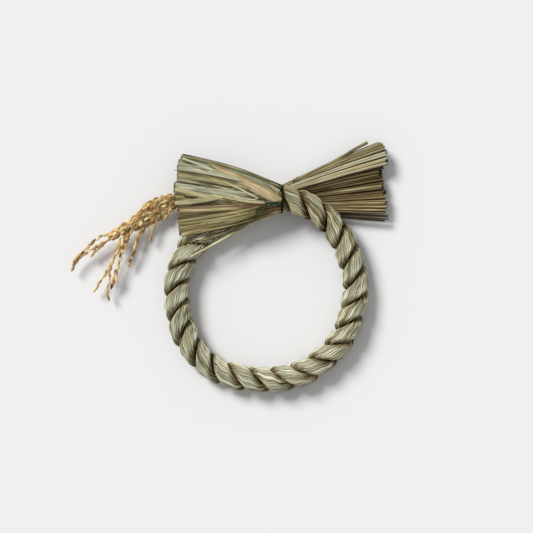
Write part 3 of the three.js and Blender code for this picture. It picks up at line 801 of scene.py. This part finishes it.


# Leaves that lie on top of the left fan. Each has its way as (x, y, width) from the tie or its root
# outwards, then its tone, its hue, how deep its colour lies and how far it stands above the others. The
# nearly black strips are painted shade, laid where the gaps between leaves are.
OWN_LEAVES = [
    ([(-69, 92.2, 0.8), (-75, 92.2, 2.2), (-82, 93, 1.4)], 0.02, 0.7, 0.95, 1.5),
    ([(-49, 88.6, 0.7), (-60, 86.4, 1.8), (-75, 84.9, 0.8)], 0.02, 0.9, 0.9, 1.5),
    ([(13, 86, 2), (-11.4, 88.3, 3), (-29.4, 91.8, 4.6), (-51.4, 96.8, 7), (-71.4, 101, 5.6),
      (-91.2, 104.8, 3.6)], 0.6, 0.08, 0, 0.5),
    ([(10, 84.5, 2), (-20, 88, 2.6), (-44, 92, 3), (-61.4, 93.2, 5.4), (-76.4, 96.4, 6.4),
      (-91.4, 100.6, 5.4)], 0.74, 0.42, 0, 0.8),
    ([(-22, 82.6, 0.9), (-33, 87, 1.8), (-39.6, 90.2, 1.6), (-43.9, 91.4, 1.4)], 0.3, 0.95, 0.2, 1.2),
    ([(-42.6, 91.6, 1.2), (-51.4, 90.4, 2.6), (-61.4, 89.2, 4), (-76, 87.4, 5), (-91.6, 86.1, 4)],
     0.76, 0.42, 0, 1.2),
    ([(-8, 91, 1), (-16.4, 95, 1.7), (-29.4, 101.8, 1.8), (-43.9, 108.3, 1.2)], 0.82, 0.25, 0, 1.1),
    ([(-30, 109, 1.4), (-43.9, 115.6, 2.6), (-61.9, 122.6, 2.8), (-84, 131, 1.8)], 0.85, 0.12, 0, 0.7),
    ([(-36, 109, 1), (-50, 114.6, 1.6), (-66, 120.4, 1)], 0.0, 0.2, 0.7, 1.0),
    ([(13, 98.2, 3), (6, 101.8, 4.4), (-8, 107.4, 5), (-22, 113, 5), (-40, 119.3, 4.4), (-58, 126, 3)],
     0.5, 0.12, 0, 0.5),
    ([(12, 103.4, 1.4), (-10, 112.9, 2.4), (-25.5, 119.2, 2.9), (-45.7, 125.4, 3.2), (-66, 129.9, 3.2),
      (-84, 132.8, 2.6)], 0.56, 0.4, 0, 0.5),
    ([(14.6, 87.8, 7.2), (10.6, 90.3, 8.6), (1.9, 95.2, 11), (-12.5, 103, 11.2), (-27, 110.6, 8.8),
      (-41.4, 118, 6.6), (-50, 122.4, 4.6), (-60, 127.6, 0.8)], 0.66, 0.88, 0, 1.7),
    ([(12, 78, 2), (-8, 75.4, 3), (-21.4, 71.8, 3.4), (-38.4, 67.8, 4.2), (-51.4, 64.6, 4.6), (-66.4, 60, 4),
      (-85, 54, 3.6)], 0.66, 0.55, 0, 0.5),
    ([(12, 95.3, 0.6), (7.1, 101, 0.8), (5.4, 103, 0.8), (4.4, 101.6, 0.5)], 0.9, 0.4, 0, 1.6),
    ([(-84, 119.4, 0.7), (-88.6, 119.2, 0.7), (-92.2, 119, 0.5)], 0.4, 0.3, 0.1, 0.6),
]


def add_slivers(bundle, count):
    """Narrow strips of leaf: dark ones that are painted shade in the gaps, and pale ones on the leaves
    between them.
    """
    random = bundle.random
    for _ in range(count):
        place = random.uniform(0.04, 0.95)
        rooted = np.clip(place - 0.26 * smoothstep(place, 0.45, 0.75) + random.normal(0, 0.05), 0.05, 0.95)
        outer = random.uniform(0.4, 0.985)
        inner = max(outer - random.uniform(0.2, 0.5), 0.24)
        at_end = mix(LEFT_FAN["bottom"], LEFT_FAN["top"], place) - BINDING[1]
        way = []
        for t in np.linspace(inner, outer, 5):
            across = mix(BUNDLE_HEIGHT * (rooted - 0.5), at_end, t)
            x = mix(BINDING[0], LEFT_FAN["end"] + 1.5, t)
            bow = mix(-3.0, 3.0, place) * math.sin(math.pi * t)
            way.append(on_left_fan(x, BINDING[1] + across + bow, random.uniform(0.25, 0.55)))
        line = smooth_line(way, 12)
        t = np.linspace(0, 1, len(line))
        widths = random.uniform(0.5, 1.5) * mix(0.3, 1, np.sin(math.pi * t) ** 0.6)
        # Painted shade: the dark strips stand in for the shade in the gaps between leaves
        dark = random.uniform() < 0.55
        hue = np.clip(random.normal(mix(0.66, 0.25, leaf_green(place)) + 0.25 * dark, 0.2), 0, 1)
        tone = random.uniform(0.0, 0.25) if dark else random.uniform(0.5, 0.78)
        bundle.strip(line, leaf_section(0.1), widths, 0.3, tone=tone, hue=hue, deep=0.65 * dark)


def add_own_leaves(bundle):
    for way, tone, hue, inner, above in OWN_LEAVES:
        rough = np.array([(*on_left_fan(x, y, above), width) for x, y, width in way])
        line = smooth_line(rough[:, :3], 30)
        corners = travelled_along(rough[:, :3])
        widths = np.interp(np.linspace(0, corners[-1], len(line)), corners, rough[:, 3])
        deep = np.maximum(inner, 0.5 * LEAF_CREVICE_SHADE)
        bundle.strip(line, leaf_section(0.06), widths, LEAF_THICKNESS, tone=tone, hue=hue, deep=deep)


def right_fan():
    """Round stems in layers, the uppermost ones standing above the others, and one stray stem."""
    bundle = Bundle(17)
    for layer in range(STEM_LAYERS):
        stems = TOP_STEMS if layer == STEM_LAYERS - 1 else LOWER_STEMS
        for stem in range(stems):
            place = np.clip((stem + 0.5 + bundle.random.uniform(-0.4, 0.4)) / stems, 0.01, 0.99)
            missing = place < 0.16 and bundle.random.uniform() < 0.6
            if not missing:
                add_fan_stem(bundle, layer, place)
    stray = smooth_line(STRAY_STEM, 20)
    add_stem(bundle, stray, np.linspace(1.8, 3.2, 21), np.linspace(0.66, 0.42, 21), 0.42, 0)
    broken = smooth_line(BROKEN_STEM, 8)
    add_stem(bundle, broken, np.linspace(1.2, 0.7, 9), np.linspace(0.3, 0.3, 9), 0.8, 0)
    return bundle


def add_fan_stem(bundle, layer, place):
    """One stem of a layer, with place from the fan's lower edge, 0, to its upper one, 1."""
    random = bundle.random
    start = neck_point(LOWER_LAYER, 1, place, 2 * layer / (STEM_LAYERS - 1) - 1)
    start[1] += 1.6 * smoothstep(place, 0.6, 1)
    width = random.uniform(*STEM_WIDTHS) * mix(0.75, 1, smoothstep(place, 0.1, 0.25))
    y = mix(RIGHT_FAN["bottom"] + width / 2, RIGHT_FAN["top"] - width / 2, place)
    raised = RAISED_GROUP * smoothstep(place, 0.66, 0.74)
    z = RIGHT_FAN_HEIGHT + STEM_LAYER * layer + raised + random.uniform(-0.4, 0.4)
    x = np.interp(y, *np.transpose(RIGHT_FAN_ENDS)) + random.uniform(-4.4, 1.6)
    line = fan_line(start, (x, y, z), mix(-1.2, 1.4, place), up_the_fan(RIGHT_FAN_DIP, place), 14)
    t = np.linspace(0, 1, len(line))
    among_raised = raised / RAISED_GROUP
    # Painted shade: the middle stems are darker and browner where the raised stems shade them; painted light:
    # the lowest stems are lighter, against the rope's shadow on them
    middle_painted_shade = smoothstep(place, 0.4, 0.5) * (1 - among_raised)
    lowest = 1 - smoothstep(place, 0.15, 0.45)
    hue = np.clip(random.normal(0.64 + 0.16 * middle_painted_shade - 0.34 * among_raised, 0.19), 0, 1)
    usual_tone = 0.45 + 0.07 * lowest - 0.22 * middle_painted_shade + 0.3 * among_raised
    tone = np.clip(random.normal(usual_tone, 0.22), 0.02, 1)
    # Painted shade: darker towards the tie, under the rope's shoulder, except on the raised stems
    tone = tone - 0.28 * (1 - smoothstep(t, 0.1, 0.85)) * (1 - 0.8 * among_raised)
    # Painted shade: the lower layers are darker, as they lie under the others
    inner = 0 if layer == STEM_LAYERS - 1 else mix(0.85, 0.35, layer / (STEM_LAYERS - 2))
    add_stem(bundle, line, mix(STEM_ROOT, width, smoothstep(t, 0, 0.9)), tone, hue, inner)


def add_stem(bundle, line, widths, tone, hue, inner):
    """A hollow stem: its skin turns in at the cut end, over a paler rim, and runs back inside, darkened there
    as painted shade in the hollow.
    """
    outward = unit(line[-1] - line[-2])
    line = np.vstack([line, line[-1:], line[-1:] - STEM_BORE_DEPTH * outward])
    widths = np.concatenate([widths, widths[-1:] * [STEM_BORE], widths[-1:] * [0.55]])
    # Painted shade: the skin running back inside the hollow is darker
    tone = np.concatenate([tone, tone[-1:] + 0.15, tone[-1:] - 0.3])
    directions = unit(np.gradient(line[:-2], axis=0))
    directions = np.vstack([directions, directions[-1:], directions[-1:]])
    deep = np.maximum(inner, bundle.random.uniform(0.4, 1) * STEM_CREVICE_SHADE)
    look = {"tone": tone[:, None], "hue": hue, "deep": deep}
    bundle.strip(line, round_section(8), widths, widths, along=directions, **look)


def loose_straw():
    bundle = Bundle(29)
    line = smooth_line(LOOSE_STRAW, 60)
    t = np.linspace(0, 1, len(line))
    widths = LOOSE_STRAW_DIAMETER * mix(1, 0.55, smoothstep(t, 0.75, 1))
    bundle.strip(line, round_section(8), widths, 0.8 * widths, tone=0.72, hue=0.5)
    return bundle


# Thread

LOOPS = (-0.55, 0.55)  # the two turns round the tie, side by side
LOOP_DIAMETER = 1.15
# nearly black: painted shade where the turns sink between the layers
LOOP_PAINTED_SHADE_TONE = 0.03
PLY = 0.56  # of the thread's diameter
TWIST = 2.6  # diameters for each turn of the plies
KNOT_ABOVE = 2.3  # the left fan's leaves


def add_thread(bundle, line, diameter, **look):
    """Two plies of cotton twisted together along a line."""
    ply = diameter * PLY
    travelled = travelled_along(line)
    length = travelled[-1]
    along = unit(np.gradient(line, axis=0))
    side = unit(np.cross(along, [0.31, 0.22, 0.93]))
    other = np.cross(along, side)
    turns = max(round(length / (TWIST * diameter)), 1)
    for start in (0, math.pi):
        turn = (start + TAU * turns * travelled / length)[:, None]
        offset = side * np.cos(turn) + other * np.sin(turn)
        bundle.strip(line + offset * (diameter - ply) / 2, round_section(6), ply, ply, up=side, **look)


def thread_loop(shift):
    """One turn of thread round both layers, from the back round to the back again."""
    angle = TAU * (np.arange(161) / 160 - 0.25)
    upper = np.sin(angle) > 0
    half_depth = np.where(upper, depth_of(UPPER_LAYER), depth_of(LOWER_LAYER)) / 2
    middle = np.where(upper, UPPER_LAYER["middle"], LOWER_LAYER["middle"])
    x = BINDING[0] - 1.5 + shift + 0.9 * np.sin(angle) * upper
    y = BINDING[1] - 0.5 + np.cos(angle) * (BUNDLE_HEIGHT / 2 + 0.3)
    z = middle + np.sin(angle) * (half_depth + 0.9)
    return smooth_line(np.stack([x, y, z], axis=1), 420)


# The knot's two strands and the two thin tails, as seen from above, with diameter and tone; the pale tones
# are a painted highlight on the strands lying on top, the nearly black one is painted shade
KNOT = [
    ([(15.1, 88.7), (9.6, 87.2), (4.6, 86.9), (-0.4, 87.2), (-2.3, 88.6)], 1.15, 0.75),
    ([(14, 84.8), (8.6, 84.9), (3.6, 85.6), (-0.6, 86.4)], 1.15, 0.95),
    ([(15, 86.8), (9, 86), (3, 86.3), (-1, 86.8)], 1.2, 0.05),
    ([(0, 86.4), (-1.4, 81.4), (-5.4, 78.3), (-9.4, 75.8), (-13.2, 71.4)], 0.95, 0.5),
    ([(0.4, 86.2), (-3.9, 83.9), (-7.5, 81.7), (-10.7, 79.4), (-9.6, 77), (-7, 77.6)], 0.95, 0.55),
]


def binding_thread():
    bundle = Bundle(31)
    for shift in LOOPS:
        add_thread(bundle, thread_loop(shift), LOOP_DIAMETER, tone=LOOP_PAINTED_SHADE_TONE)
    for way, diameter, tone in KNOT:
        line = smooth_line([on_left_fan(x, y, KNOT_ABOVE) for x, y in way], 60)
        add_thread(bundle, line, diameter, tone=tone)
    return bundle


# Rice ears

STALK_TIED = (16.0, 102.2, 15.3)  # the second ear's stalk, at the tie
STALK_SPACING = 2.2  # from one ear's stalk to the next, one above the other
STALK_DIAMETER = 1.9
BODY_TWIGS = [(-3.2, -0.6), (-1.0, 0.9), (1.2, 1.2), (3.4, -0.4)]  # how far aside and above its middle
BODY_SIDE = (-0.62, 0.78)  # the direction across an ear's body
EARS = [
    {
        "stalk": [(8, 103, 16.6), (-30, 98.6, 15.2), (-92, 92.6, 14), (-99, 90.8, 14.6)],
        "body": [(-94, 90.6, 15), (-108, 87, 16), (-121, 77.4, 16.4), (-133, 66.8, 16), (-145.6, 57.8, 15.4),
                 (-154, 52.4, 14.6)],
        "twigs": [
            [(-143, 65, 15), (-153, 54, 14), (-160.4, 54.3, 14), (-165.1, 52.9, 14), (-172.5, 47.4, 13.6),
             (-186.5, 34.3, 12.6), (-193, 26.9, 12)],
            [(-144, 64, 15), (-155, 52, 14), (-167.9, 43.6, 13), (-183.7, 34.3, 12), (-189.2, 28.8, 11.4),
             (-194.8, 19.5, 11)],
            [(-146, 61, 15), (-159.5, 48.3, 13), (-165.1, 42.7, 12), (-170.7, 38.1, 11.4),
             (-174.8, 33.9, 11)],
        ],
    },
    {
        "stalk": [(8, 102.6, 14.4), (-30, 94.6, 13.2), (-91, 87.6, 10.6), (-98, 86, 11.6)],
        "body": [(-92, 87.4, 12), (-108.1, 81.3, 14), (-119.7, 73, 14.6), (-131, 64, 14), (-139, 58.4, 13)],
        "twigs": [
            [(-137, 60, 14), (-144.6, 50.1, 13), (-148.4, 42.7, 12.6), (-153.9, 28.8, 12),
             (-156.7, 22.3, 11.6), (-165.1, 10.2, 11), (-172.5, -2.8, 10)],
            [(-153, 30, 12), (-156.3, 20.4, 12), (-157.2, 9.3, 11.4), (-159.5, -2.8, 11),
             (-158.1, -10.3, 10.6)],
            [(-136, 60, 14), (-140, 47.4, 14), (-141.9, 39.9, 13.4), (-144.6, 33.4, 13), (-147.4, 25.1, 12.6),
             (-149.7, 17.6, 12), (-150.2, 9.3, 11.6)],
            [(-140, 56, 14), (-145, 44, 13), (-149.3, 39, 12.4), (-151.6, 36.2, 12)],
            [(-148, 24, 12), (-152.1, 13, 11.6), (-154.9, 0.9, 11)],
            [(-137, 62, 15.4), (-142.4, 51, 15), (-146, 42.6, 14.4), (-150, 34, 13.6)],
            [(-134, 60, 15.2), (-138, 51, 15), (-143.4, 41, 14.4), (-145.6, 34, 14)],
        ],
    },
    {
        "stalk": [(8, 102.4, 12.1), (-30, 91.4, 11.2), (-90, 83.6, 8.4), (-96, 82, 9)],
        "body": [(-93.6, 83.2, 10), (-103.9, 76.3, 11), (-114.7, 70.5, 12), (-121.4, 65.5, 12),
                 (-126, 58.5, 12)],
        "twigs": [
            [(-124, 61, 12), (-128.8, 52.9, 12), (-130.7, 45.5, 11.6), (-131.6, 39.9, 11),
             (-135.4, 30.6, 10.4), (-138.1, 24.1, 10)],
            [(-122, 64, 13), (-127, 56, 13), (-130, 46, 12.4)],
            [(-109, 73, 12), (-111.4, 66.3, 11.6), (-113.9, 59.6, 11), (-117.2, 48, 10)],
        ],
    },
]
GRAIN_LENGTHS = (5.8, 7.6)
GRAIN_PLACES = np.array([0, 0.07, 0.22, 0.42, 0.62, 0.8, 0.93, 1.0])  # shares of its length
GRAIN_GIRTH = np.array([0.14, 0.5, 0.88, 1.0, 0.93, 0.66, 0.32, 0.06])  # and how wide it is there


def add_grain(bundle, foot, along, length, width):
    """One husked grain with a keel along its back."""
    random = bundle.random
    line = foot + along * (GRAIN_PLACES * length)[:, None]
    girth = GRAIN_GIRTH * width
    roll = random.uniform(-0.8, 0.8)
    tone = np.clip(random.normal(0.56, 0.26), 0, 1)
    hue = np.clip(random.normal(0.5, 0.28), 0, 1)
    bundle.strip(line, round_section(7), girth, 0.8 * girth, roll=roll, tone=tone, hue=hue)


def add_twig(bundle, points, spacing=3.5, girth=3.0, wander=0.2, splay=0.1):
    """A thin twig with grains left and right of it in turn, close against it."""
    random = bundle.random
    rough = np.asarray(points, float)
    length = np.linalg.norm(np.diff(rough, axis=0), axis=1).sum()
    steps = max(int(length / 1.5), 8)
    line = smooth_line(points, steps)
    line[:, 1] += wander * slow_noise(random, len(line), 5)
    line[:, 2] += 0.5 * slow_noise(random, len(line), 5)
    bundle.strip(line, round_section(5), 1.0, 1.0, tone=0.4, hue=0.6)
    along = unit(np.gradient(line, axis=0))
    side = unit(np.cross(UP, along))
    for number in range(int(length / spacing) + 1):
        index = min(int((number * spacing + random.uniform(-0.8, 0.8)) / length * steps), steps)
        index = max(index, 0)
        hand = 1 if number % 2 else -1
        lean = side[index] * hand * random.uniform(0, splay) + UP * random.uniform(-0.08, 0.12)
        foot = line[index] + side[index] * hand * random.uniform(0.1, 0.4) - along[index] * 2.5
        grain_length = random.uniform(*GRAIN_LENGTHS)
        grain_width = girth * random.uniform(0.85, 1.15)
        add_grain(bundle, foot, unit(along[index] + lean), grain_length, grain_width)


def rice_ear(ear, number):
    """Stalk, the body where the twigs lie close together, and the twigs that part from it."""
    bundle = Bundle(200 + number)
    x, y, z = STALK_TIED
    tied = (x, y, z + (2 - number) * STALK_SPACING)
    stalk = smooth_line([tied, *ear["stalk"]], 60)
    bundle.strip(stalk, round_section(6), STALK_DIAMETER, STALK_DIAMETER, tone=0.5, hue=0.2)
    body = np.asarray(ear["body"], float)
    for aside, lift in BODY_TWIGS:
        beside = body + (BODY_SIDE[0] * aside, BODY_SIDE[1] * aside, lift)
        add_twig(bundle, beside, spacing=3.6, girth=3.5, wander=1.3, splay=0.26)
    for twig in ear["twigs"]:
        add_twig(bundle, twig)
    return bundle


# The pieces

sections = rope_sections()
for number, start in ((1, 0.0), (2, math.pi)):
    strand = rope_strand(sections, start, 100 + number)
    for fibres in FIBRES:
        add_rope_fibres(strand, sections, start, *fibres)
    if number == 1:
        add_inner_fibres(strand)
    strand.piece(f"rope_strand_{number}_straws", ROPE_STRAW, "rope_straw", f"rope_strand_{number}")
left_fan().piece("left_fan_leaves", LEAF_STRAW, "leaf_straw", "left_fan")
right_fan().piece("right_fan_stems", STEM_STRAW, "stem_straw", "right_fan")
loose_straw().piece("loose_straw_stem", ROPE_STRAW, "rope_straw", "loose_straw")
binding_thread().piece("binding_thread_cotton", THREAD_COTTON, "thread", "binding_thread")
for number, ear in enumerate(EARS, 1):
    rice_ear(ear, number).piece(f"rice_ear_{number}_grains", EAR_HUSK, "rice_ear", f"rice_ear_{number}")


# Floor, light and camera

IMAGE_WIDTH = 0.533  # of the view at the rope's height
CAMERA_AT = (0.03756, -0.00053)
CAMERA_DISTANCE = 1.9
SENSOR_WIDTH = 36.0
VIEW_HEIGHT = 0.012
LIGHT_HEIGHT = 41  # degrees above the floor, from the upper left
LIGHT_SOFTNESS = 22  # degrees across
LIGHT_STRENGTH = 3.25
EVEN_LIGHT = 0.41
FLOOR_REACH = 4.0
FLOOR_TONE = 0.8


def pale_floor():
    mesh = bpy.data.meshes.new("floor")
    sides = ((-1, -1), (1, -1), (1, 1), (-1, 1))
    mesh.from_pydata([(FLOOR_REACH * x, FLOOR_REACH * y, 0) for x, y in sides], [], [(0, 1, 2, 3)])
    material, _, shader = new_material("floor_paper")
    shader["Base Color"].default_value = (FLOOR_TONE, FLOOR_TONE, FLOOR_TONE, 1)
    shader["Roughness"].default_value = 0.9
    shader["Specular IOR Level"].default_value = 0.0
    mesh.materials.append(material)
    floor = new_object("floor", mesh)


def studio_light():
    """A large soft light from the upper left, and even light from all round."""
    light = bpy.data.lights.new("soft_light", "SUN")
    light.energy = LIGHT_STRENGTH
    light.angle = math.radians(LIGHT_SOFTNESS)
    height = math.radians(LIGHT_HEIGHT)
    shining = Vector((math.cos(height), -math.cos(height), -math.sqrt(2) * math.sin(height)))
    new_object("soft_light", light).rotation_euler = shining.to_track_quat("-Z", "Y").to_euler()
    world = bpy.data.worlds.new("even_light")
    world.use_nodes = True
    background = world.node_tree.nodes["Background"]
    background.inputs["Color"].default_value = (1, 1, 1, 1)
    background.inputs["Strength"].default_value = EVEN_LIGHT
    bpy.context.scene.world = world


def camera():
    made = bpy.data.cameras.new("camera")
    made.sensor_width = SENSOR_WIDTH
    made.lens = SENSOR_WIDTH * CAMERA_DISTANCE / IMAGE_WIDTH
    placed = new_object("camera", made)
    placed.location = (*CAMERA_AT, CAMERA_DISTANCE + VIEW_HEIGHT)
    bpy.context.scene.camera = placed
    bpy.context.scene.view_settings.view_transform = "Standard"


pale_floor()
studio_light()
camera()

bpy.context.view_layer.update()
